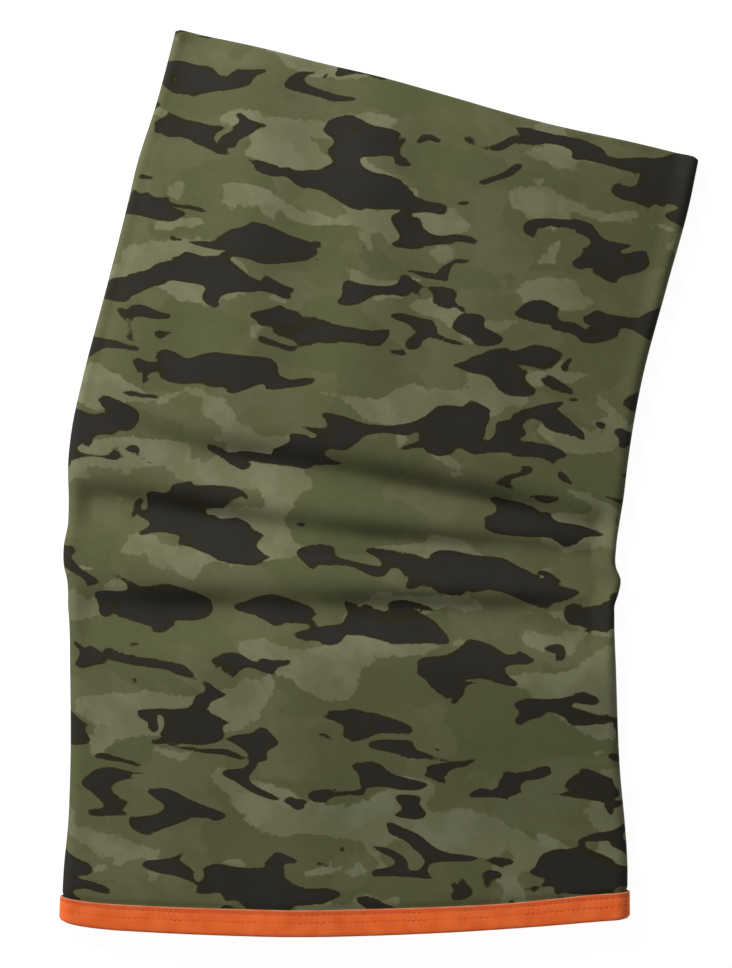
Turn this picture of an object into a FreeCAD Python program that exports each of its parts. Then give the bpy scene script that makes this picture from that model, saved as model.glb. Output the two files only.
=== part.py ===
"""Neck gaiter laid flat on its back on a level surface.

A lined, open-ended fabric tube with a 14 degree lean in its upper part. Two shaped jersey panels
make the outer tube and meet in overlocked side seams. A fleece lining hangs inside it from the
turned top edge. A folded tape binds both tubes' lower edges.

Millimetres. +X to the wearer's front, +Y from the hem to the face edge, +Z up off the surface.
The origin is the centre of the footprint, on the surface.
"""

import FreeCAD
import Part
import math
import os

V = FreeCAD.Vector

# Cloth
SHELL = 0.9  # printed jersey
LINING = 1.4  # brushed fleece
PLY_GAP = 0.15  # air between the two
TAPE = 0.8  # binding tape, each leg
THREAD = 0.3  # how far a thread stands off the cloth it lies on

# Cross-section of the flattened tube
FOLD_R = 5.5  # outside radius of the two side folds
PRESSED = 0.2  # how much the back is pressed flat by its own weight
HEM_LIFT = TAPE + THREAD + PRESSED + 0.05  # the hem stands higher, for its tape and thread

# Path of the tube, hem to face edge: centre x, centre y, lean in degrees, half width, lift, and
# how high the front's crown stands over the back. The drag lines at the bend are its low places.
STATIONS = [
    (-14.4, -212.0, 0.0, 120.2, HEM_LIFT, 15.5),
    (-14.4, -186.0, 0.0, 120.2, HEM_LIFT, 15.5),
    (-14.2, -168.0, 0.0, 119.4, HEM_LIFT, 16.0),
    (-14.0, -140.0, 0.0, 117.8, 0.0, 17.5),
    (-14.8, -100.0, 0.0, 116.2, 0.0, 18.5),
    (-15.7, -52.0, 0.0, 115.9, 0.0, 16.0),
    (-15.0, -15.0, 3.0, 116.8, 0.0, 18.0),
    (-12.6, 12.0, 8.0, 118.0, 0.0, 16.5),
    (-3.9, 48.0, 13.0, 116.0, 0.0, 18.5),
    (10.3, 106.0, 13.7, 114.6, 0.0, 18.5),
    (24.5, 164.6, 13.7, 113.9, 0.0, 17.0),
    (30.4, 188.9, 13.7, 113.9, 0.0, 16.5),
]
SECTIONS_PER_SPAN = 2

# Hem: an arc that bows down between the two lower corners
HEM_LOW = V(-14.4, -191.9, 0)  # its lowest point
HEM_R = 1068.0
TAPE_WIDTH = 10.4
NEEDLE_ROWS = (8.7, 5.5)  # from the hem's edge; a 3.2 mm coverstitch

# Face edge: a straight turned edge through this point, square to the upper part
TOP_CENTRE = V(24.5, 164.6, 0)
TOP_LEAN = 13.7
TOP_STITCH = 6.0  # from the face edge down to the row that holds the lining

# Side seams and the lining
SEAM_Z = FOLD_R
ALLOWANCE = 3.5  # how far the overlocked seam allowance reaches in
OVERLOCK = 0.35
SIDE_ROOM = 4.15  # room left beside the lining for the seam allowance
SEAM_SLIT = 0.3
FLATLOCK_WIDTH = 5.0

# Small pieces inside
LABEL_SIZE = (24.0, 34.0, 0.5)
LABEL_X = 62.0  # across the tube, from its centre line
BARTACK = (1.8, 9.0)
TAPE_JOIN_X = 96.0

LINING_OUT = SHELL + PLY_GAP
LINING_IN = LINING_OUT + LINING
BIG = 600.0


def station(place):
    """The path's six values at a place counted in stations, by a Catmull-Rom curve."""
    i = min(int(place), len(STATIONS) - 2)
    t = place - i
    a, b = STATIONS[i], STATIONS[i + 1]
    before = STATIONS[max(i - 1, 0)]
    after = STATIONS[min(i + 2, len(STATIONS) - 1)]
    row = []
    for p0, p1, p2, p3 in zip(before, a, b, after):
        slope1, slope2 = (p2 - p0) / 2, (p3 - p1) / 2
        turn = 3 * (p2 - p1) - 2 * slope1 - slope2
        bend = 2 * (p1 - p2) + slope1 + slope2
        row.append(p1 + slope1 * t + turn * t * t + bend * t ** 3)
    return row


def all_stations():
    spans = len(STATIONS) - 1
    count = spans * SECTIONS_PER_SPAN
    return [station(spans * k / count) for k in range(count + 1)]


def to_frame(row, x, z):
    """A point of a cross-section, x across the tube and z up, in the part's frame."""
    cx, cy, lean, _, lift, _ = row
    a = math.radians(lean)
    return V(cx + x * math.cos(a), cy - x * math.sin(a), z + lift - PRESSED)


def profile(row, inset, side):
    """Flat back, two round folds and a crowned front, all offset inwards by inset."""
    half = row[3] - side
    fold = half - FOLD_R  # x of a fold's centre
    rise = row[5] - 2 * FOLD_R
    below = (fold ** 2 - rise ** 2) / (2 * rise)  # crown's centre, under the folds' centres
    tilt = math.atan2(fold, below)  # where the crown leaves the fold
    r = FOLD_R - inset
    big = math.hypot(fold, below) + r

    def on_fold(side_sign, angle):
        return to_frame(row, side_sign * (fold + r * math.sin(angle)), FOLD_R - r * math.cos(angle))

    top = math.pi - tilt
    right = [on_fold(1, a) for a in (0, top / 2, top)]
    left = [on_fold(-1, a) for a in (top, top / 2, 0)]
    crown = to_frame(row, 0, FOLD_R - below + big)
    return Part.Wire([
        Part.LineSegment(left[2], right[0]).toShape(),
        Part.Arc(*right).toShape(),
        Part.Arc(right[2], crown, left[0]).toShape(),
        Part.Arc(*left).toShape(),
    ])


def body(inset, side=0.0):
    """Everything inside the tube's outer face, offset inwards by inset and narrowed by side."""
    return Part.makeLoft([profile(row, inset, side) for row in all_stations()], True, False)


def lane(low, high, from_edge=False):
    """A tall prism along the tube between two distances across it.

    The distances count from the centre line, or from the right-hand fold's outermost point.
    """
    wires = []
    for row in all_stations():
        shift = row[3] if from_edge else 0.0
        corners = [to_frame(row, x + shift, z) for x, z in ((low, -9), (high, -9), (high, 60), (low, 60))]
        wires.append(Part.makePolygon(corners + corners[:1]))
    return Part.makeLoft(wires, True, False)


def core(side):
    """A tall prism along the tube that stops short of both folds by side."""
    wires = []
    for row in all_stations():
        x = row[3] - side
        corners = [to_frame(row, a, z) for a, z in ((-x, -9), (x, -9), (x, 60), (-x, 60))]
        wires.append(Part.makePolygon(corners + corners[:1]))
    return Part.makeLoft(wires, True, False)


def above_hem(distance):
    """All that lies over the hem's arc, moved up by distance."""
    centre = HEM_LOW + V(0, HEM_R, -50)
    return Part.makeCylinder(HEM_R - distance, 200, centre)


def hem_band(low, high):
    return above_hem(low).cut(above_hem(high))


def below_top(distance):
    """All that lies under the face edge, moved down by distance."""
    block = Part.makeBox(BIG, BIG, 200, V(-BIG / 2, -BIG - distance, -50))
    block.rotate(V(0, 0, 0), V(0, 0, 1), -TOP_LEAN)
    block.translate(TOP_CENTRE)
    return block


def slab(low, high):
    return Part.makeBox(BIG, BIG, high - low, V(-BIG / 2, -BIG / 2, low))


def joined(*shapes):
    return shapes[0].fuse(list(shapes[1:])).removeSplitter()


def make_shell(parts):
    """The two jersey panels, with their turned face edge and their seam allowances."""
    outer, inner = body(0), body(SHELL)
    lining_face = body(LINING_IN, SIDE_ROOM)
    wall = outer.cut(inner)
    rim = outer.cut(lining_face).cut(below_top(SHELL))
    tube = joined(wall, rim).common(below_top(0)).common(above_hem(TAPE + 0.1)).common(slab(0, 99))
    flange = inner.cut(core(SHELL + ALLOWANCE)).common(below_top(0)).common(above_hem(TAPE + 0.1))
    upper, lower = slab(SEAM_Z, 99), slab(-9, SEAM_Z)
    parts["front_panel"] = joined(tube.common(upper), flange.common(slab(SEAM_Z, SEAM_Z + SHELL)))
    parts["back_panel"] = joined(tube.common(lower), flange.common(slab(SEAM_Z - SHELL, SEAM_Z)))
    make_overlock(parts, inner)


def make_overlock(parts, inner):
    """The thread that wraps the free edge of both seam allowances, one per side."""
    reach = SHELL + ALLOWANCE
    around = inner.cut(core(reach + OVERLOCK)).common(core(SHELL + 1.2))
    cloth = inner.cut(core(reach)).common(slab(SEAM_Z - SHELL, SEAM_Z + SHELL))
    height = SHELL + OVERLOCK
    thread = around.common(slab(SEAM_Z - height, SEAM_Z + height)).cut(cloth)
    thread = thread.common(below_top(2.0)).common(above_hem(2.0))
    right_side = lane(0, 150)
    parts["right_seam_overlock"] = thread.common(right_side)
    parts["left_seam_overlock"] = thread.cut(right_side)


def make_lining(parts):
    """The fleece tube, its flatlocked back seam and the row that holds it to the face edge."""
    face, back = body(LINING_IN, SIDE_ROOM), body(LINING_OUT, SIDE_ROOM)
    slit = lane(-SEAM_SLIT / 2, SEAM_SLIT / 2).common(slab(-9, SEAM_Z))
    span = below_top(SHELL + 0.1).common(above_hem(TAPE + 0.1))
    parts["lining"] = back.cut(face).cut(slit).common(span)

    raised = face.cut(body(LINING_IN + THREAD, SIDE_ROOM))
    ladder = raised.common(lane(-FLATLOCK_WIDTH / 2, FLATLOCK_WIDTH / 2)).common(slab(-9, SEAM_Z))
    clear_of_row = below_top(TOP_STITCH + 1).common(above_hem(TAPE_WIDTH + 0.2))
    parts["lining_seam_flatlock"] = ladder.common(clear_of_row)
    row = below_top(TOP_STITCH - 0.25).cut(below_top(TOP_STITCH + 0.25))
    parts["face_edge_stitch"] = raised.common(row)


def make_hem(parts):
    """The tape folded over both raw edges, the three coverstitch threads and the tape's bar tack."""
    outside, cloth_out = body(-TAPE), body(0)
    cloth_in, inside = body(LINING_IN, SIDE_ROOM), body(LINING_IN + TAPE, SIDE_ROOM)
    pocket = cloth_out.cut(cloth_in).common(above_hem(TAPE))
    join = lane(TAPE_JOIN_X, TAPE_JOIN_X + SEAM_SLIT).common(slab(-9, SEAM_Z))
    tape = outside.cut(inside).cut(pocket).cut(join).common(hem_band(0, TAPE_WIDTH))
    parts["hem_binding"] = tape

    proud = body(-TAPE - THREAD).cut(outside)
    for name, at in zip(("binding_needle_thread_upper", "binding_needle_thread_lower"), NEEDLE_ROWS):
        parts[name] = proud.common(hem_band(at - 0.25, at + 0.25)).cut(tack_lane())
    cover = inside.cut(body(LINING_IN + TAPE + THREAD, SIDE_ROOM))
    parts["binding_cover_thread"] = cover.common(hem_band(NEEDLE_ROWS[1], NEEDLE_ROWS[0]))
    low, high = (TAPE_WIDTH - BARTACK[1]) / 2, (TAPE_WIDTH + BARTACK[1]) / 2
    parts["binding_bartack"] = proud.common(tack_lane(0.0)).common(hem_band(low, high))


def tack_lane(margin=0.2):
    """Where the bar tack lies, under the back, with a margin that the needle threads leave."""
    middle = TAPE_JOIN_X + SEAM_SLIT / 2
    reach = BARTACK[0] / 2 + margin
    return lane(middle - reach, middle + reach).common(slab(-9, SEAM_Z))


def make_label(parts):
    """A blank care label that lies on the back of the lining, sewn down over the tape."""
    width, length, thick = LABEL_SIZE
    on_lining = body(LINING_IN, SIDE_ROOM)
    over = on_lining.cut(body(LINING_IN + thick, SIDE_ROOM))
    low = TAPE_WIDTH + 0.3
    place = lane(LABEL_X - width / 2, LABEL_X + width / 2).common(slab(-9, SEAM_Z))
    parts["care_label"] = over.common(place).common(hem_band(low, low + length))
    stitch = body(LINING_IN + thick, SIDE_ROOM).cut(body(LINING_IN + thick + THREAD, SIDE_ROOM))
    row = lane(LABEL_X - width / 2 + 1, LABEL_X + width / 2 - 1).common(slab(-9, SEAM_Z))
    parts["care_label_stitch"] = stitch.common(row).common(hem_band(low + 1.5, low + 2.0))


def main():
    parts = {}
    make_shell(parts)
    make_lining(parts)
    make_hem(parts)
    make_label(parts)
    os.makedirs("parts", exist_ok=True)
    for name, shape in sorted(parts.items()):
        solids = shape.Solids
        whole = solids[0] if len(solids) == 1 else Part.makeCompound(solids)
        whole.exportStep(f"parts/{name}.step")
        box = whole.BoundBox
        print(f"{name}: {len(solids)} solid, valid {whole.isValid()}, {whole.Volume / 1000:.2f} cm3, "
              f"x {box.XMin:.1f} {box.XMax:.1f} y {box.YMin:.1f} {box.YMax:.1f} z {box.ZMin:.2f} {box.ZMax:.2f}")


main()
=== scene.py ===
"""How the neck gaiter looks, laid flat on white and seen from straight above.

Lengths are millimetres until a mesh is made. Everything is built from one surface, the outside of
the flattened tube: place() turns a spot on it, and a depth into the cloth, into a point.
"""

import math

import bpy
import numpy as np
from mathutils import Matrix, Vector


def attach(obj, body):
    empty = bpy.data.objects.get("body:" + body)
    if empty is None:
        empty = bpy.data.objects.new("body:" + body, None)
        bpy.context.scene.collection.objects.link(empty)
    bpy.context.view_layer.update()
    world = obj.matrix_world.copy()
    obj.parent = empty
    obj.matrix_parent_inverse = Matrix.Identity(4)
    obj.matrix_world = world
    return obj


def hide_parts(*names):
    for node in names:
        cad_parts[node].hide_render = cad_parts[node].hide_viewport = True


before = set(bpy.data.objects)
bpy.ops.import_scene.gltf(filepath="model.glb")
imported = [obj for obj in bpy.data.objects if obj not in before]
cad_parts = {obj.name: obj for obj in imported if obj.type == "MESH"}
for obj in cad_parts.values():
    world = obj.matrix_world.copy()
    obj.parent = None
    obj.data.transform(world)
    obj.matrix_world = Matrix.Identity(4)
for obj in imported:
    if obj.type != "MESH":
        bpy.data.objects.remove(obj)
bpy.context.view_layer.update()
scene = bpy.context.scene
rng = np.random.default_rng(20)


CAMERA_PLACE = (-0.0055, -0.0006, 1.1455)  # metres


def make_camera():
    """Straight above the garment, with its long way up the picture."""
    data = bpy.data.cameras.new("camera")
    data.lens = 100
    data.sensor_width = 36
    data.clip_end = 20
    camera = bpy.data.objects.new("camera", data)
    camera.location = CAMERA_PLACE
    scene.collection.objects.link(camera)
    scene.camera = camera


make_camera()

MM = 0.001

# The garment's outline from above: how far along, the left side, the right side
SIDES = [
    (-200, -135.2, 105.9), (-180, -134.4, 105.3), (-162, -133.5, 105.3), (-145, -131.9, 104.3),
    (-124, -131, 102.4), (-80, -131, 100.6), (-57, -131.5, 99.9), (-52, -131.9, 100), (-47, -131.9, 101.6),
    (-41, -132.3, 102.5), (-36, -133.5, 100.6), (-27, -133.7, 100.7), (-18, -132, 101.9), (-7, -131.6, 103.7),
    (7, -131.9, 105.4), (24, -130.1, 107.9), (42, -126.2, 111.3), (84, -115.2, 122.4), (118, -106.6, 131.7),
    (135, -102.6, 135.2), (160, -94.6, 141), (195, -85.4, 149),
]
# How far along the corners are
HEM_CORNERS = -185.2
TOP_LEFT = 192.3
TOP_RIGHT = 137.6
LENGTH = (TOP_LEFT + TOP_RIGHT) / 2 - HEM_CORNERS  # along the centre line, hem's edge to face edge

CORNER = 0.5  # radius of the four corners
CORNER_REACH = 2.0  # a corner's roundness fades out over this far along
# How far the hem bows below its corners: place from -1 at the left side to 1 at the right, sag
HEM_SAG = [
    (-1, 0.1), (-0.92, 2.0), (-0.83, 3.2), (-0.69, 4.1), (-0.51, 5.0), (-0.33, 5.7), (0, 5.6),
    (0.34, 4.2), (0.69, 1.7), (0.88, 0.0), (1, -0.9),
]
HEM_SAG_REACH = 0.3  # share of the length over which the bow fades out
TOP_SAG = 2.2  # how far the face edge dips at its lowest
TOP_SAG_PLACE, TOP_SAG_WIDTH = 0.36, 0.35  # from -1 to 1 across
RIGHT_RISE = 1.4  # how much wider the tape lies at the hem's right end

# Cross-section of the flattened tube
FOLD_R = 5.5  # outside radius of the two side folds
# Height of the front's crown at the centre line: how far along, height
CROWN = [
    (-192, 14.6), (-160, 15.5), (-100, 17.3), (-50, 18.3), (0, 18.4), (60, 17.8), (120, 17.0), (190, 15.8),
]
HEM_LIFT = 1.2  # the hem stands higher, for the tape and thread under it
FACE_EDGE_DROP = 1.6  # how far the front lies under its crown at the face edge
LEFT_DROP = 1.8  # and beside the upper left fold

# Depths inside the shell's outer face
LINING_OUT = 1.05
LINING_IN = 2.45
TURN_R = 1.2  # of the shell's outer face where it turns in at the face edge
TURNED_DEPTH = 2 * TURN_R + 0.15  # the leg that is turned in
SIDE_ROOM = 4.15  # how much narrower the lining is at each side

# Along the cloth from a side seam to the centre line
HEM_HALF = 121.0
SHELL_HALF = 122.0
LINING_HALF = 118.0

TAPE_WIDTH = 10.4
NEEDLE_ROWS = (8.7, 5.5)  # from the hem's edge
STITCH = 2.35  # stitch length along the hem
STITCHES = round(2 * HEM_HALF / STITCH)  # on each face
CELLS_PER_STITCH = 6
TAPE_JOIN = 96.0  # across, from the centre line
FACE_EDGE_ROW = 6.0  # from the face edge
LABEL_X = 62.0  # across, from the centre line
LABEL_SIZE = (24.0, 34.0)
LABEL_FOOT = 10.8  # from the hem's edge

# Folds across the bend. Each is a list of (across, along, depth) down its steep wall, which faces the
# hem; the other wall is long.
FOLDS = [
    [(-122, 32, 0.4), (-100, 25.2, 1.8), (-78, 19.0, 4.4), (-56, 14.4, 6.4), (-34, 11.2, 6.2), (-8, 6.6, 7.0),
     (16, 1.8, 8.2), (32, -1.6, 8.2), (52, -5.6, 8.0), (68, -9.4, 6.0), (82, -13.0, 4.4), (100, -16.0, 5.0)],
    [(-132, -1.2, 4.0), (-104, -4.4, 6.0), (-76, -9.6, 7.6), (-50, -13.2, 6.4), (-28, -16.2, 6.0),
     (0, -19.8, 8.4), (26, -22.4, 9.4), (60, -26.6, 10.4), (84, -30.6, 10.4), (104, -33.6, 8.0)],
    [(-136, -47.4, 2.4), (-106, -47.6, 3.4), (-78, -48.2, 6.2), (-44, -48.2, 4.4), (-4, -48.2, 6.8),
     (43, -49.8, 8.0), (64, -50.6, 9.0), (86, -52.4, 9.6), (104, -53.6, 8.0)],
]
STEEP, LONG = 8.2, 14.0  # how far the two walls of a fold reach
STEEP_MIDDLE = 0.7 * STEEP  # from a fold's bottom up to the line given for it
FOLD_FADE = 11.0  # the folds fade out this near a side
LOWEST_FRONT = 5.9  # the front's outer face stays at least this high
SINK_SHARPNESS = 8  # the higher, the later a deep fold is held back


def through(points, at, column=1):
    """A smooth curve through rows of (place, value, ...), read at any places."""
    rows = np.array(points, float)
    x, y = rows[:, 0], rows[:, column]
    slope = np.gradient(y, x)
    at = np.clip(at, x[0], x[-1])
    i = np.clip(np.searchsorted(x, at) - 1, 0, len(x) - 2)
    h = x[i + 1] - x[i]
    t = (at - x[i]) / h
    t2, t3 = t * t, t ** 3
    return (
        (2 * t3 - 3 * t2 + 1) * y[i] + (t3 - 2 * t2 + t) * h * slope[i]
        + (3 * t2 - 2 * t3) * y[i + 1] + (t3 - t2) * h * slope[i + 1]
    )


def smooth(low, high, x):
    t = np.clip((x - low) / (high - low), 0, 1)
    return t * t * (3 - 2 * t)


def hump(x, centre, width):
    return np.exp(-(((x - centre) / width) ** 2))


def long_waves(x, y):
    """Long soft waves that run along the garment above and below the bend, and a slight unevenness."""
    upper, lower = smooth(20, 60, y), 1 - smooth(-100, -60, y)
    slanted = np.sin(2 * math.pi * (x + 69 - 0.08 * (y - 80)) / 51)
    z = 1.1 * slanted * upper * (1 - 0.8 * smooth(-10, 40, x))
    z = z + 1.3 * np.sin(2 * math.pi * (x + 44) / 62) * lower * hump(x, -44, 42)
    z = z - 1.3 * smooth(62, 100, x) * upper - 1.5 * smooth(100, 135, x) * smooth(80, 120, y)
    return z + 0.35 * np.sin(x / 17 + 1.5 * np.sin(y / 31)) * np.sin(y / 23 + x / 60)


def folds(x, y):
    """How far the front's cloth stands over or under its smooth crown."""
    z = np.zeros(np.broadcast(x, y).shape)
    for fold in FOLDS:
        off = y - through(fold, x) + STEEP_MIDDLE
        z = z - through(fold, x, 2) * np.where(off > 0, hump(off, 0, STEEP), hump(off, 0, LONG))
    crease = hump(y, -30.5 - 0.01 * x, 1.3) * hump(x, -8, 55)
    return z - 0.5 * crease + long_waves(x, y)


def sunk(z, crown):
    """A fold's height, held back where it would press through the back."""
    share = np.minimum(z, 0) / (crown - LOWEST_FRONT)
    return np.where(z < 0, z / (1 + share ** SINK_SHARPNESS) ** (1 / SINK_SHARPNESS), z)


def section(a, half, crown, depth, front):
    """Across the tube at a, from -1 at one side seam to 1 at the other.

    Returns x, height, and x with the cloth laid flat.
    """
    fold = half - FOLD_R
    r = FOLD_R - depth
    if front:
        rise = crown - 2 * FOLD_R
        below = (fold ** 2 - rise ** 2) / (2 * rise)
        tilt = np.arctan2(fold, below)
        reach = np.hypot(fold, below)
        crown_arc = (reach + FOLD_R) * tilt
        s = np.abs(a) * (crown_arc + FOLD_R * (math.pi / 2 - tilt))
        on_crown = s < crown_arc
        angle = np.where(on_crown, s / crown_arc * tilt, tilt + (s - crown_arc) / FOLD_R)
        x = np.where(on_crown, (reach + r) * np.sin(angle), fold + r * np.sin(angle))
        z = np.where(on_crown, FOLD_R - below + (reach + r) * np.cos(angle), FOLD_R + r * np.cos(angle))
        turn = (fold + FOLD_R * np.sin(tilt)) / crown_arc
        flat = np.where(on_crown, s * turn, crown_arc * turn + s - crown_arc)
    else:
        s = np.abs(a) * (fold + FOLD_R * math.pi / 2)
        on_flat = s < fold
        angle = np.where(on_flat, 0.0, (s - fold) / FOLD_R)
        x = np.where(on_flat, s, fold + r * np.sin(angle))
        z = FOLD_R - r * np.cos(angle)
        flat = s
    return np.sign(a) * x, z, np.sign(a) * flat


def sides_at(up):
    """Both ends of the line across the tube up mm from the hem's edge: x and y of each."""
    lean = smooth(0, 1, up / LENGTH)
    left_y = HEM_CORNERS + up + (TOP_LEFT - HEM_CORNERS - LENGTH) * lean
    right_y = HEM_CORNERS + up + (TOP_RIGHT - HEM_CORNERS - LENGTH) * lean
    return through(SIDES, left_y), left_y, through(SIDES, right_y, 2), right_y


def edge_shift(side, from_side, up):
    """How far along a point moves to bow the hem, round the corners and dip the face edge."""
    corner = np.clip(CORNER - from_side, 0, CORNER)
    drop = CORNER - np.sqrt(CORNER ** 2 - corner ** 2)
    shift = -through(HEM_SAG, side) * np.clip(1 - up / LENGTH / HEM_SAG_REACH, 0, 1) ** 2
    shift = shift + drop * np.exp(-up / CORNER_REACH) - drop * np.exp(-(LENGTH - up) / CORNER_REACH)
    rise = smooth(2, TAPE_WIDTH, up) * (1 - smooth(TAPE_WIDTH, 60, up))
    shift = shift + RIGHT_RISE * smooth(0.5, 0.95, side) * rise
    return shift - TOP_SAG * hump(side, TOP_SAG_PLACE, TOP_SAG_WIDTH) * smooth(0.9, 1.0, up / LENGTH)


def front_relief(px, py, side, from_side, mid_y, up):
    """How far the front lies over or under its plain crown."""
    crown_here = 2 * FOLD_R + (through(CROWN, mid_y) - 2 * FOLD_R) * (1 - side ** 2)
    by_hem = 0.35 + 0.65 * smooth(0, 20, up)
    z = sunk(folds(px, py), crown_here) * smooth(0, FOLD_FADE, from_side) * by_hem
    z = z - FACE_EDGE_DROP * (1 - smooth(0, 14, LENGTH - up)) * smooth(0, 10, from_side)
    by_left = smooth(0, 6, from_side) * (1 - smooth(2, 27, from_side))
    return z - LEFT_DROP * (side < 0) * smooth(0, 60, py) * by_left


def back_relief(px, py, from_side, depth):
    """A slight unevenness inside the back; its outer face stays flat."""
    waves = 0.25 * (1 + np.sin(px / 19) * np.sin(py / 27))
    return waves * smooth(0, 12, from_side) * smooth(0, 2, depth)


def tube(a, up, depth=0.0, front=True, room=0.0):
    """The point a across (-1 to 1) and up mm from the hem's edge, depth mm inside the outer face.

    room narrows the tube at its sides, as for the lining. Returns x, y, z, and x, y with the cloth flat.
    """
    a, up, depth, room = np.broadcast_arrays(*[np.asarray(k, float) for k in (a, up, depth, room)])
    left_x, left_y, right_x, right_y = sides_at(up)
    across = np.hypot(right_x - left_x, right_y - left_y)
    ux, uy = (right_x - left_x) / across, (right_y - left_y) / across
    mid_x, mid_y = (left_x + right_x) / 2, (left_y + right_y) / 2
    half = across / 2 - room
    x, z, flat = section(a, half, through(CROWN, mid_y), depth, front)
    side, from_side = x / (across / 2), across / 2 - np.abs(x)
    shift = edge_shift(side, from_side, up)
    px, py = mid_x + ux * x - uy * shift, mid_y + uy * x + ux * shift
    if front:
        free = smooth(0, 3, half - np.abs(x))
        z = z + front_relief(px, py, side, from_side, mid_y, up) * free
    else:
        z = z + back_relief(px, py, from_side, depth)
    z = z + HEM_LIFT * (1 - smooth(TAPE_WIDTH, TAPE_WIDTH + 32, up))
    return px, py, z, mid_x + ux * flat - uy * shift, mid_y + uy * flat + ux * shift


def place(a, up, depth=0.0, front=True, room=0.0):
    """The same point as one array, xyz last."""
    return np.stack(tube(a, up, depth, front, room)[:3], axis=-1)


# ---------------------------------------------------------------- meshes


def mesh_object(name, points, faces, material, node):
    mesh = bpy.data.meshes.new(name)
    mesh.from_pydata((np.asarray(points) * MM).tolist(), [], faces)
    mesh.shade_smooth()
    mesh.materials.append(material)
    obj = bpy.data.objects.new(name, mesh)
    scene.collection.objects.link(obj)
    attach(obj, "root")
    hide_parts(node)
    return obj


def grid_faces(rows, columns, wrap=False, loop=False):
    """Quads of a grid of points. wrap joins its last column to its first, loop its last row."""
    i = np.arange(rows if loop else rows - 1)[:, None]
    j = np.arange(columns if wrap else columns - 1)[None, :]
    next_j, next_i = (j + 1) % columns, (i + 1) % rows * columns
    i = i * columns
    return np.stack([i + j, i + next_j, next_i + next_j, next_i + j], axis=-1).reshape(-1, 4)


def sheet_object(name, grid, material, node, slot, wrap=False, loop=False, flip=False):
    """A mesh from a grid of points: rows, columns, xyz."""
    faces = grid_faces(grid.shape[0], grid.shape[1], wrap, loop)
    if flip:
        faces = faces[:, ::-1]
    return mesh_object(name, grid.reshape(-1, 3), faces.tolist(), material, node)


def add_floats(obj, name, values):
    attribute = obj.data.attributes.new(name, "FLOAT", "POINT")
    attribute.data.foreach_set("value", np.asarray(values, np.float32).ravel())


TIP = 0.35  # share of a thread's radius at its two ends


def unit(vectors):
    return vectors / (np.linalg.norm(vectors, axis=-1, keepdims=True) + 1e-9)


def tubes(name, paths, radius, material, node, sides=6):
    """Threads: every path (points, xyz) is a tube. All paths have the same number of points."""
    paths = np.asarray(paths, float)
    count, points = paths.shape[:2]
    along = unit(np.gradient(paths, axis=1))
    reference = np.zeros_like(along)
    reference[..., 2] = 1.0
    reference[np.abs(along[..., 2]) > 0.9] = (1.0, 0.0, 0.0)
    u = unit(np.cross(along, reference))
    w = np.cross(along, u)
    turn = (np.arange(sides) / sides * 2 * math.pi)[:, None]
    thickness = np.full(points, radius)
    thickness[[0, -1]] *= TIP
    ring = u[:, :, None, :] * np.cos(turn) + w[:, :, None, :] * np.sin(turn)
    verts = (paths[:, :, None, :] + thickness[:, None, None] * ring).reshape(-1, 3)
    one = grid_faces(points, sides, wrap=True)
    faces = (one[None] + (np.arange(count) * points * sides)[:, None, None]).reshape(-1, 4).tolist()
    for k in range(count):
        base = k * points * sides
        faces.append(list(range(base, base + sides))[::-1])
        faces.append(list(range(base + (points - 1) * sides, base + points * sides)))
    return mesh_object(name, verts, faces, material, node)


# ---------------------------------------------------------------- the print
#
# A generic camouflage, in print millimetres: s across, t along. It repeats every TILE. Each layer's shapes
# are the parts of a smooth noise that stand over a threshold, so they are nobody's drawing.

TILE = (296.0, 448.0)
CELL = 0.5  # between the grid points of a layer's field
GRID = (round(TILE[1] / CELL), round(TILE[0] / CELL))
FAR = 6.0  # distances from a layer's edge are cut off here
PRINT_SLANT = 0.1  # the cloth was cut a little off the straight
BACK_PRINT = (20.0, 34.0)  # where the back was cut from the print, against the front

# Each layer's first seed, how wide and tall its shapes are, its share of the cloth, how much of the two
# finer noises is in it, and how far its shapes are bent
LAYERS = {
    "charcoal": (11, 58.0, 24.0, 0.28, 0.5, 0.13, 4.2),
    "sage": (31, 84.0, 36.0, 0.3, 0.42, 0.14, 4.0),
    "dark": (51, 84.0, 42.0, 0.46, 0.42, 0.14, 4.0),
}


def smooth_noise(seed, wide, tall):
    """Noise over the tile with features of one size, wide across and tall along."""
    white = np.random.default_rng(seed).standard_normal(GRID)
    across = np.fft.fftfreq(GRID[1], CELL) * wide
    along = np.fft.fftfreq(GRID[0], CELL)[:, None] * tall
    rate = across ** 2 + along ** 2
    kept = np.exp(-rate) * (1 - np.exp(-3.0 * rate))
    noise = np.fft.ifft2(np.fft.fft2(white) * kept).real
    return noise / noise.std()


def bent(field, across, along):
    """The field read at places moved by some mm across and along."""
    j, i = np.indices(GRID)
    i, j = i + np.rint(across / CELL).astype(int), j + np.rint(along / CELL).astype(int)
    return field[j % GRID[0], i % GRID[1]]


def layer(seed, wide, tall, share, rough, fine, bend):
    """Roughly the distance from a layer's edge, positive inside its shapes."""
    noise = smooth_noise(seed, wide, tall) + rough * smooth_noise(seed + 1, 0.4 * wide, 0.45 * tall)
    noise = noise + fine * smooth_noise(seed + 2, 0.16 * wide, 0.25 * tall)
    bend_across, bend_along = (smooth_noise(seed + k, 0.6 * wide, 0.6 * tall) for k in (3, 4))
    noise = bent(noise, bend * bend_across, 0.5 * bend * bend_along)
    over = noise - np.quantile(noise, 1 - share)
    slope = np.hypot(*np.gradient(over, CELL))
    return np.clip(over / (slope + 0.3 * slope.mean()), -FAR, FAR)


def print_place(x, y):
    """Where a spot on the flat garment is on the print."""
    return x, y + PRINT_SLANT * x


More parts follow.
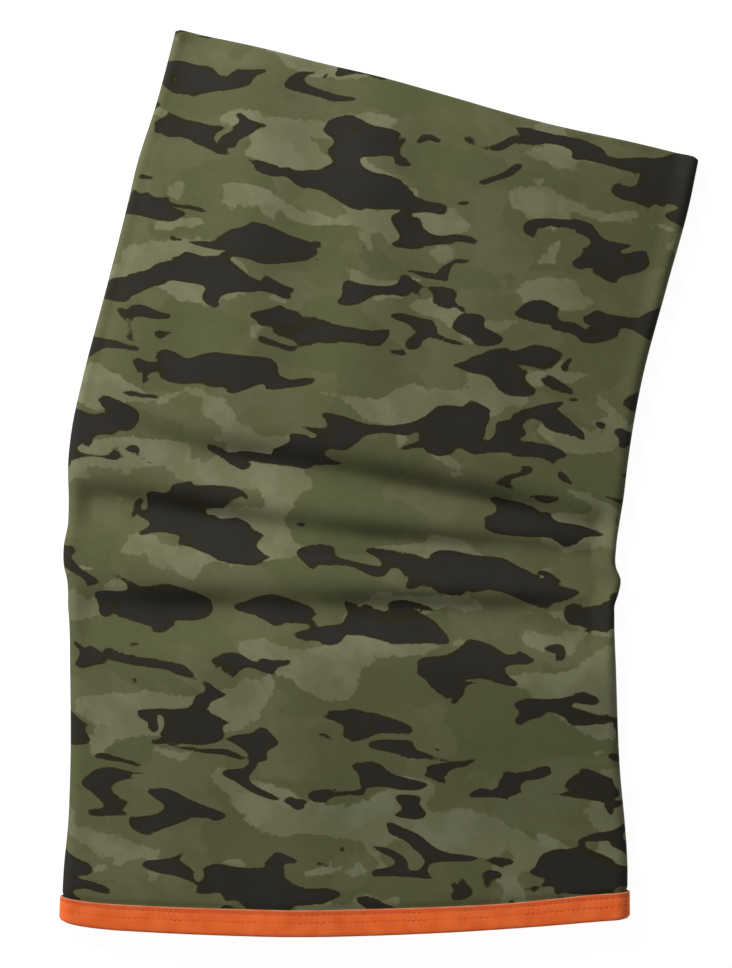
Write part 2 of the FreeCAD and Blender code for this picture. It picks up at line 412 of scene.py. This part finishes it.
def read_field(field, s, t):
    """The field between its four nearest grid points."""
    rows, columns = GRID
    s, t = s / CELL, t / CELL
    i, j = np.floor(s).astype(int), np.floor(t).astype(int)
    fs, ft = s - i, t - j
    i, next_i = i % columns, (i + 1) % columns
    j, next_j = j % rows, (j + 1) % rows
    here = field[j, i] * (1 - fs) + field[j, next_i] * fs
    above = field[next_j, i] * (1 - fs) + field[next_j, next_i] * fs
    return here * (1 - ft) + above * ft


FIELDS = {name: layer(*values) for name, values in LAYERS.items()}


def add_print(obj, s, t):
    """Give each point its place on the print, and its distance inside each layer's shapes."""
    for name, field in FIELDS.items():
        add_floats(obj, name, read_field(field, s, t))
    add_floats(obj, "across", s)
    add_floats(obj, "along", t)


# ---------------------------------------------------------------- materials


def colour(red, green, blue):
    """A colour given as a screen shows it, 0 to 255, for a node."""
    return (*[((k / 255 + 0.055) / 1.055) ** 2.4 for k in (red, green, blue)], 1.0)


class Graph:
    """A material's nodes, with short ways to add them."""

    def __init__(self, name, roughness, specular=0.2, sheen=0.0):
        self.material = bpy.data.materials.new(name)
        self.material.use_nodes = True
        self.tree = self.material.node_tree
        self.shader = self.tree.nodes["Principled BSDF"]
        self.put(self.shader.inputs["Roughness"], roughness)
        self.put(self.shader.inputs["Specular IOR Level"], specular)
        self.put(self.shader.inputs["Sheen Weight"], sheen)

    def put(self, socket, value):
        if isinstance(value, bpy.types.NodeSocket):
            self.tree.links.new(value, socket)
        else:
            socket.default_value = value

    def add(self, kind, inputs=(), output=0, **settings):
        node = self.tree.nodes.new("ShaderNode" + kind)
        for key, value in settings.items():
            setattr(node, key, value)
        for socket, value in inputs:
            self.put(node.inputs[socket], value)
        return node.outputs[output]

    def read(self, name):
        return self.add("Attribute", output=2, attribute_name=name)

    def math(self, operation, *values):
        return self.add("Math", enumerate(values), operation=operation)

    def ramp(self, value, low, high, to_low=0.0, to_high=1.0):
        places = enumerate((value, low, high, to_low, to_high))
        return self.add("MapRange", places, interpolation_type="SMOOTHSTEP")

    def mix(self, amount, a, b):
        return self.add("Mix", [(0, amount), (6, a), (7, b)], output=2, data_type="RGBA")

    def noise(self, where, scale, detail=2.0, swing=1.0):
        """Noise about 0, up to about half of swing either way."""
        made = self.add("TexNoise", [("Vector", where), ("Scale", scale), ("Detail", detail)])
        return self.math("MULTIPLY", self.math("SUBTRACT", made, 0.5), swing)

    def vector(self, x, y, z=0.0):
        return self.add("CombineXYZ", enumerate((x, y, z)))

    def shade(self, tone, *swings):
        """The tone made lighter or darker by each swing about 0."""
        amount = 1.0
        for swing in swings:
            amount = self.math("ADD", amount, swing)
        return self.add("VectorMath", [(0, tone), (3, amount)], operation="SCALE")

    def finish(self, tone, height, strength, distance):
        """distance is the bump's depth in metres."""
        bump = self.add("Bump", [("Height", height), ("Strength", strength), ("Distance", distance)])
        self.put(self.shader.inputs["Base Color"], tone)
        self.put(self.shader.inputs["Normal"], bump)
        return self.material


def camo_jersey():
    g = Graph("camo_jersey", roughness=0.9, specular=0.1)
    across, along = g.read("across"), g.read("along")
    cloth = g.vector(across, along)
    blot, wander = g.noise(cloth, 0.05, 3.0), g.noise(cloth, 0.14, 3.0)
    ragged, ripple = g.noise(cloth, 0.4, 3.0), g.noise(cloth, 0.9, 2.0)

    def edge(name, *wobbles):
        distance = g.read(name)
        for wobble, reach in wobbles:
            distance = g.math("MULTIPLY_ADD", wobble, reach, distance)
        return distance

    dark = edge("dark", (wander, 5.0), (ragged, 3.0))
    sage = edge("sage", (wander, 3.0), (ragged, 3.0), (ripple, 0.5))
    charcoal = edge("charcoal", (ripple, 0.35))

    olive = g.mix(g.ramp(blot, -0.06, 0.06), colour(87, 88, 60), colour(91, 92, 65))
    tone = g.mix(g.ramp(dark, -0.6, 0.6), olive, colour(84, 86, 58))
    light = g.mix(g.ramp(blot, -0.05, 0.08), colour(103, 104, 77), colour(111, 112, 86))
    tone = g.mix(g.ramp(sage, 0.0, 0.8), tone, light)
    tone = g.shade(tone, g.noise(cloth, 0.3, 4.0, 0.16), g.noise(cloth, 0.09, 2.0, 0.16))
    core = g.mix(g.ramp(blot, -0.08, 0.08), colour(41, 40, 34), colour(43, 42, 38))
    rim = g.ramp(g.math("MULTIPLY_ADD", wander, 3.0, charcoal), 0.3, 1.8)
    tone = g.mix(g.ramp(charcoal, -0.24, 0.24), tone, g.mix(rim, colour(43, 40, 25), core))
    yarn = g.vector(g.math("MULTIPLY", across, 0.35), g.math("MULTIPLY", along, 1.4))
    tone = g.shade(tone, g.noise(yarn, 2.0, 2.0, 0.12), g.noise(cloth, 1.2, 3.0, 0.05))

    wales = g.math("MULTIPLY", g.math("SINE", g.math("MULTIPLY", across, 2 * math.pi / 0.9)), 0.1)
    return g.finish(tone, g.math("ADD", wales, g.noise(cloth, 1.4, 3.0)), 0.35, 0.00012)


def lining_fleece():
    g = Graph("lining_fleece", roughness=0.95, specular=0.1, sheen=0.35)
    where = g.add("TexCoord", output=3)
    tone = g.mix(g.ramp(g.noise(where, 140, 3.0), -0.2, 0.2), colour(52, 53, 45), colour(64, 65, 55))
    pile = g.math("ADD", g.noise(where, 500, 4.0), g.noise(where, 1500, 2.0, 0.5))
    return g.finish(tone, pile, 0.7, 0.0005)


def orange_tape():
    g = Graph("orange_tape", roughness=0.8, specular=0.18, sheen=0.05)
    across, up = g.read("across"), g.read("up")
    cloth = g.vector(across, up)
    blot = g.ramp(g.noise(cloth, 0.12, 3.0), -0.12, 0.12)
    tone = g.mix(blot, colour(227, 98, 40), colour(234, 107, 48))
    # Darker and redder over the tape's top 2 mm: painted shade of the cloth puckered by the upper needle row.
    tone = g.mix(g.ramp(up, 8.0, 9.9, 0.0, 0.9), tone, colour(196, 80, 38))
    # Darker in the needle holes: painted shade inside the dimples, which the mesh is too coarse to shade
    # itself.
    tone = g.mix(g.read("pit_and_shade"), tone, colour(150, 48, 12))
    # Paler along the top edge: painted highlight on the tape's fold.
    tone = g.mix(g.read("edge"), tone, colour(188, 130, 94))
    # Lighter towards the right seam, darker towards the left: painted light that evens out the shade the key
    # light leaves on the tape's right end.
    painted_right_lift = g.ramp(across, -HEM_HALF, HEM_HALF, -0.04, 0.1)
    tone = g.shade(tone, painted_right_lift, g.noise(cloth, 1.6, 2.0, 0.10))
    ribs = g.math("MULTIPLY", g.math("SINE", g.math("MULTIPLY", up, 2 * math.pi / 1.1)), 0.15)
    return g.finish(tone, g.math("ADD", ribs, g.noise(cloth, 1.8, 3.0)), 0.4, 0.00012)


def thread(name, tone, other):
    g = Graph(name, roughness=0.6, specular=0.3, sheen=0.1)
    where = g.add("TexCoord", output=3)
    inputs = [("Vector", where), ("Scale", 1400.0), ("Distortion", 1.5)]
    wave = g.add("TexWave", inputs, bands_direction="DIAGONAL")
    return g.finish(g.mix(wave, tone, other), wave, 0.4, 0.0001)


def label_satin():
    g = Graph("label_satin", roughness=0.45, specular=0.4, sheen=0.1)
    where = g.add("TexCoord", output=3)
    stretched = g.add("Mapping", [("Vector", where), ("Scale", (1.0, 0.2, 1.0))])
    weave = g.ramp(g.noise(stretched, 900, 2.0), -0.2, 0.2)
    tone = g.mix(weave, colour(226, 224, 219), colour(236, 234, 230))
    return g.finish(tone, g.noise(stretched, 1500, 2.0), 0.3, 0.0001)


# ---------------------------------------------------------------- cloth


def columns_across(step, gap):
    """Places across a panel, -1 to 1, closer together within gap of both seams. Both are mm."""
    near = gap / SHELL_HALF * np.array([0.0, 0.08, 0.17, 0.28, 0.42, 0.6, 0.8])
    last = 1 - gap / SHELL_HALF
    middle = np.linspace(-last, last, round(2 * (SHELL_HALF - gap) / step))
    return np.concatenate([-1 + near, middle, (1 - near)[::-1]])


def face_edge_turn(steps=9, inside=8.0, cells=8):
    """How the shell turns in at the face edge: distance below the edge, depth, share of the turn."""
    turn = np.arange(1, steps) / steps
    angle = turn * math.pi
    below = TURN_R * (1 - np.sin(angle))
    depth = TURN_R * (1 - np.cos(angle))
    flat = np.linspace(TURN_R, inside, cells)
    return (
        np.concatenate([below, flat]),
        np.concatenate([depth, np.full(cells, TURNED_DEPTH)]),
        np.concatenate([turn, np.ones(cells)]),
    )


SEAM_ALLOWANCE = np.array([4.3, 3.1, 2.0, 1.2])  # depths down the cloth turned inside at a side seam
SEAM_GROOVE, SEAM_GROOVE_WIDTH = 0.7, 1.3  # how deep the cloth dips into a side seam, and how near it
SEAM_GAP = 0.14  # from the seam's plane to each panel's allowance
TAPE_PRESS = 0.6  # how far the tape's edge presses into the cloth


def shell_panel(name, node, front, step, material):
    """A shell panel: its face, its seam allowances turned inside, its top turned in at the face edge."""
    a = columns_across(step, gap=2.6)
    at_seam = np.ones(len(SEAM_ALLOWANCE))
    a_all = np.concatenate([-at_seam, a, at_seam])
    groove = SEAM_GROOVE * (1 - smooth(0, SEAM_GROOVE_WIDTH, (1 - np.abs(a)) * SHELL_HALF))
    inward = np.concatenate([SEAM_ALLOWANCE, groove, SEAM_ALLOWANCE[::-1]])
    below, turned, share = face_edge_turn()
    rows = np.linspace(1.0, LENGTH - TURN_R, round(LENGTH / step))
    up = np.concatenate([rows, LENGTH - below])[:, None]
    turned = np.concatenate([np.zeros(len(rows)), turned])[:, None]
    share = np.concatenate([np.zeros(len(rows)), share])[:, None]
    by_tape = TAPE_PRESS * hump(up, TAPE_WIDTH + 0.2, 0.9)
    depth = turned + inward * (1 - share) + by_tape
    x, y, z, flat_x, flat_y = tube(a_all, up, depth, front, SIDE_ROOM * share)
    apart = SEAM_GAP * smooth(0.2, 1.2, inward) * (1 - share)
    z = z + (apart if front else -apart)
    obj = sheet_object(name, np.stack([x, y, z], -1), material, node, "camo_jersey", flip=not front)
    if front:
        s, t = print_place(flat_x, flat_y)
    else:
        s, t = print_place(BACK_PRINT[0] - flat_x, flat_y + BACK_PRINT[1])
    add_print(obj, s, t)
    return obj


def lining_tube(material):
    """The fleece tube, a closed wall from inside the tape to the face edge's turn."""
    across = np.linspace(-1, 1, 92)
    up = np.concatenate([[2.6], np.linspace(4, LENGTH - 4, 118), [LENGTH - 1.9]])
    outward = np.concatenate([up, up[::-1]])[:, None]
    depth = np.concatenate([np.full(len(up), LINING_OUT), np.full(len(up), LINING_IN)])[:, None]
    front = place(across[None, :], outward, depth, True, SIDE_ROOM)
    back = place(across[None, -2:0:-1], outward, depth, False, SIDE_ROOM)
    grid = np.concatenate([front, back], axis=1)
    return sheet_object("fleece_tube", grid, material, "lining", "lining_fleece", wrap=True, loop=True)


# The tape's outline in section, outside face first: distance up from the hem's edge, depth, share of the
# side room
TAPE_SECTION = [
    (10.40, -0.12, 0), (10.44, -0.42, 0), (10.28, -0.74, 0), (9.9, -0.85, 0), (9.4, -0.90, 0),
    (9.05, -0.91, 0), (8.7, -0.91, 0), (8.35, -0.91, 0), (8.0, -0.92, 0), (7.1, -0.94, 0), (6.2, -0.92, 0),
    (5.85, -0.91, 0), (5.5, -0.91, 0), (5.15, -0.91, 0), (4.7, -0.92, 0), (3.5, -0.92, 0), (2.2, -0.91, 0),
    (1.2, -0.88, 0), (0.5, -0.72, 0.1), (0.1, -0.30, 0.3), (0.0, 0.6, 0.5), (0.05, 1.8, 0.7),
    (0.4, 2.7, 0.9), (1.2, 3.15, 1), (2.2, 3.28, 1), (5.5, 3.3, 1), (8.7, 3.3, 1), (10.1, 3.28, 1),
    (10.4, 3.1, 1), (10.42, 2.8, 1), (10.1, 2.55, 1), (5.5, 2.52, 1), (2.3, 2.5, 1), (1.3, 2.2, 0.8),
    (0.9, 1.2, 0.5), (1.3, 0.2, 0.2), (2.3, -0.04, 0), (5.5, -0.05, 0), (10.1, -0.05, 0),
]
PIT_DEPTH = 0.5  # of the dimple at a needle hole
ROW_STRENGTH = (1.0, 0.8)  # how deep each needle row's pits are


def needle_pits(a, up, depth):
    """How deep the tape is pitted at each point of its section, 0 to 1: over the needle holes only. The
    tape's colour is darkened by the same amount, as painted shade in the holes.
    """
    from_hole = (np.arange(len(a)) + 1) % CELLS_PER_STITCH
    hole = np.where(from_hole == 1, 1.0, np.where(from_hole < 3, 0.45, 0.0))
    strong = np.repeat(rng.random(STITCHES), CELLS_PER_STITCH)
    patchy = smooth(-0.6, 0.9, np.sin(a * 9 + 1) + 0.6 * np.sin(a * 23 + 4))
    pit_and_shade = np.zeros((len(TAPE_SECTION), len(a)))
    for row, strength in zip(NEEDLE_ROWS, ROW_STRENGTH):
        near = (np.abs(up - row) < 0.05) & (depth < -0.5)
        pit_and_shade += near * hole * (0.25 + 0.75 * strong) * (0.45 + 0.55 * patchy) * strength
    return pit_and_shade


def hem_tape(material):
    """The folded tape, all the way round, with a dimple at every needle hole."""
    count = STITCHES * CELLS_PER_STITCH
    a = -1 + 2 * np.arange(count) / count
    up, section_depth, section_room = np.array(TAPE_SECTION).T[:, :, None]
    outside = section_depth < -0.1
    # A pale line along the tape's folded top edge: painted highlight where the fold meets the light.
    edge_highlight = ((up > 10.2) & outside) * (0.6 + 0.4 * np.sin(a * 50) * np.sin(a * 17))
    wave = 0.06 * np.sin(a * 31) + 0.05 * np.sin(a * 77 + 2)
    faces = []
    floats = {"across": [], "up": [], "pit_and_shade": [], "edge": []}
    for front in (True, False):
        pit_and_shade = needle_pits(a, up, section_depth)
        depth = section_depth + PIT_DEPTH * pit_and_shade + np.where(outside, wave, 0)
        points = place(a, up, depth, front, SIDE_ROOM * section_room)
        order = slice(None) if front else slice(None, None, -1)
        faces.append(points[:, order])
        for key, values in zip(floats, (a * HEM_HALF, up, pit_and_shade, edge_highlight)):
            floats[key].append(np.broadcast_to(values, pit_and_shade.shape)[:, order])
    grid = np.concatenate(faces, axis=1)
    looks = (material, "hem_binding", "orange_tape")
    obj = sheet_object("orange_binding", grid, *looks, wrap=True, loop=True)
    for key, values in floats.items():
        add_floats(obj, key, np.concatenate(values, axis=1))
    return obj


# ---------------------------------------------------------------- threads


def needle_row(name, node, row, material):
    """One needle thread: a short stitch between every two holes, all the way round."""
    paths = []
    steps = np.array([0.08, 0.2, 0.38, 0.62, 0.8, 0.92])
    depth = np.array([-0.50, -0.80, -0.88, -0.88, -0.80, -0.50])
    for front in (True, False):
        for k in range(STITCHES):
            a = -1 + 2 * (k + steps) / STITCHES
            press = 0.07 * rng.random()
            drift = 0.12 * (rng.random() - 0.5)
            paths.append(place(a, row + drift, depth + press, front))
    return tubes(name, paths, 0.14, material, node)


def cover_thread(material):
    """The looper's thread on the inner leg, from one needle row to the other and back."""
    upper, lower = NEEDLE_ROWS
    share = np.array([0.0, 0.12, 0.5, 0.88, 1.0])
    depth = np.array([3.3, 3.42, 3.46, 3.42, 3.3])
    paths = []
    for front in (True, False):
        for k in range(STITCHES * 2):
            a = -1 + (k + share) / STITCHES
            up = upper + (lower - upper) * (share if k % 2 == 0 else 1 - share)
            paths.append(place(a, up, depth, front, SIDE_ROOM))
    node = "binding_cover_thread"
    return tubes("looper_thread", paths, 0.16, material, node, sides=5)


def bar_tack(material):
    """A dense zigzag over the tape's join, on the back leg."""
    turns, half_width, foot, height = 24, 0.8, 0.9, 8.6
    share = np.linspace(0, 1, 5)
    paths = []
    for k in range(turns):
        side = half_width if k % 2 == 0 else -half_width
        a = (TAPE_JOIN + side * (1 - 2 * share)) / HEM_HALF
        up = foot + height * (k + share) / turns
        paths.append(place(a, up, -1.0 - 0.12 * np.sin(share * math.pi), False))
    return tubes("tape_join_tack", paths, 0.17, material, "binding_bartack")


def overlock(name, node, side, material):
    """Loops round the edge of one side seam's allowance."""
    start, end, pitch = 12.0, LENGTH - 14, 2.2
    turn = np.linspace(0, 2 * math.pi, 9)
    paths = []
    for k in range(int((end - start) / pitch)):
        up = start + pitch * (k + turn / (2 * math.pi))
        path = place(side, up, 2.6 - 1.9 * np.cos(turn), True)
        path[:, 2] += 0.75 * np.sin(turn)
        paths.append(path)
    return tubes(name, paths, 0.15, material, node, sides=5)


def flatlock(material):
    """The ladder of thread up the lining's back seam, inside."""
    start, end, pitch = 13.0, LENGTH - 12, 2.0
    half = 2.4 / LINING_HALF
    share = np.linspace(0, 1, 5)
    rung_depth, rail_depth = LINING_IN + 0.12, LINING_IN + 0.16
    paths = []
    for k in range(int((end - start) / pitch)):
        up = start + pitch * k
        rung = up + 0.5 * pitch * share
        rail = up + pitch * (0.05 + 0.9 * share)
        paths.append(place(half * (2 * share - 1), rung, rung_depth, False, SIDE_ROOM))
        for a in (-half, half):
            paths.append(place(a, rail, rail_depth, False, SIDE_ROOM))
    node = "lining_seam_flatlock"
    return tubes("lining_seam_ladder", paths, 0.15, material, node, sides=5)


RUN_STITCH = np.array([0.08, 0.3, 0.7, 0.92])  # where a straight stitch's points are in its share of a row


def face_edge_row(material):
    """The stitches that hold the turned face edge to the lining, inside."""
    count = 100
    reach = 0.985  # the row stops short of the side seams
    depth = TURNED_DEPTH + np.array([0.0, 0.16, 0.16, 0.0])
    paths = []
    for front in (True, False):
        for k in range(count):
            a = (-1 + 2 * (k + RUN_STITCH) / count) * reach
            paths.append(place(a, LENGTH - FACE_EDGE_ROW, depth, front, SIDE_ROOM))
    node = "face_edge_stitch"
    return tubes("face_edge_stitches", paths, 0.16, material, node, sides=5)


def label(material, stitch_material):
    """A blank label that hangs inside the back, sewn on by its lower end above the tape."""
    middle, half = LABEL_X / LINING_HALF, LABEL_SIZE[0] / 2 / LINING_HALF
    u = np.linspace(-1, 1, 17)[None, :]
    v = np.linspace(0, 1, 24)[:, None]
    curl = 0.25 * v ** 2 * (1 + 0.4 * np.sin(u * 2.2 + v * 3))
    up = LABEL_FOOT + LABEL_SIZE[1] * v
    grid = place(middle + half * u, up, LINING_IN + 0.25 + curl, False, SIDE_ROOM)
    obj = sheet_object("blank_label", grid, material, "care_label", "label_satin")
    count = 11
    depth = LINING_IN + 0.3 + 0.12 * np.sin(RUN_STITCH * math.pi)
    paths = []
    for k in range(count):
        a = middle + half * (-0.92 + 1.84 * (k + RUN_STITCH) / count)
        paths.append(place(a, LABEL_FOOT + 1.6, depth, False, SIDE_ROOM))
    tubes("label_stitches", paths, 0.15, stitch_material, "care_label_stitch")
    return obj


# ---------------------------------------------------------------- the garment

jersey, tape = camo_jersey(), orange_tape()
fleece = lining_fleece()
orange = thread("orange_thread", colour(196, 78, 30), colour(210, 92, 40))
dark = thread("dark_thread", colour(48, 49, 41), colour(58, 59, 50))
white = thread("label_thread", colour(214, 212, 207), colour(226, 224, 220))

front_cloth = shell_panel("front_cloth", "front_panel", front=True, step=1.05, material=jersey)
back_cloth = shell_panel("back_cloth", "back_panel", front=False, step=1.5, material=jersey)
inner_tube = lining_tube(fleece)
binding = hem_tape(tape)
needle_row("needle_thread_upper", "binding_needle_thread_upper", NEEDLE_ROWS[0], orange)
needle_row("needle_thread_lower", "binding_needle_thread_lower", NEEDLE_ROWS[1], orange)
cover_thread(orange)
bar_tack(orange)
overlock("left_overlock_thread", "left_seam_overlock", -1.0, dark)
overlock("right_overlock_thread", "right_seam_overlock", 1.0, dark)
flatlock(dark)
face_edge_row(dark)
blank_label = label(label_satin(), white)


# ---------------------------------------------------------------- floor and light


def make_floor():
    """A white sweep that reads as plain white, with only a faint shadow at the garment's edge."""
    half = 3.0
    mesh = bpy.data.meshes.new("floor")
    corners = [(-half, -half, 0), (half, -half, 0), (half, half, 0), (-half, half, 0)]
    mesh.from_pydata(corners, [], [(0, 1, 2, 3)])
    floor = bpy.data.objects.new("floor", mesh)
    scene.collection.objects.link(floor)
    g = Graph("white_floor", roughness=1.0, specular=0.0)
    g.put(g.shader.inputs["Base Color"], (0.18, 0.18, 0.18, 1))
    g.put(g.shader.inputs["Emission Color"], (1, 1, 1, 1))
    g.put(g.shader.inputs["Emission Strength"], 0.95)
    mesh.materials.append(g.material)


def make_light(name, location, size, watts):
    """A square soft light that faces the garment."""
    data = bpy.data.lights.new(name, "AREA")
    data.size = size
    data.energy = watts
    light = bpy.data.objects.new(name, data)
    light.location = location
    light.rotation_euler = Vector(location).to_track_quat("Z", "Y").to_euler()
    scene.collection.objects.link(light)


def make_world(strength):
    """Soft white light from all round, and plain white where the camera sees past the floor."""
    world = bpy.data.worlds.new("studio")
    world.use_nodes = True
    nodes, links = world.node_tree.nodes, world.node_tree.links
    background = nodes["Background"]
    background.inputs["Color"].default_value = (1, 1, 1, 1)
    seen = nodes.new("ShaderNodeLightPath")
    level = nodes.new("ShaderNodeMapRange")
    level.inputs["To Min"].default_value = strength
    level.inputs["To Max"].default_value = 1.0
    links.new(seen.outputs["Is Camera Ray"], level.inputs["Value"])
    links.new(level.outputs["Result"], background.inputs["Strength"])
    scene.world = world


make_floor()
make_world(strength=0.21)
make_light("key", location=(-0.75, 0.85, 0.85), size=0.4, watts=25.5)
scene.view_settings.view_transform = "Standard"
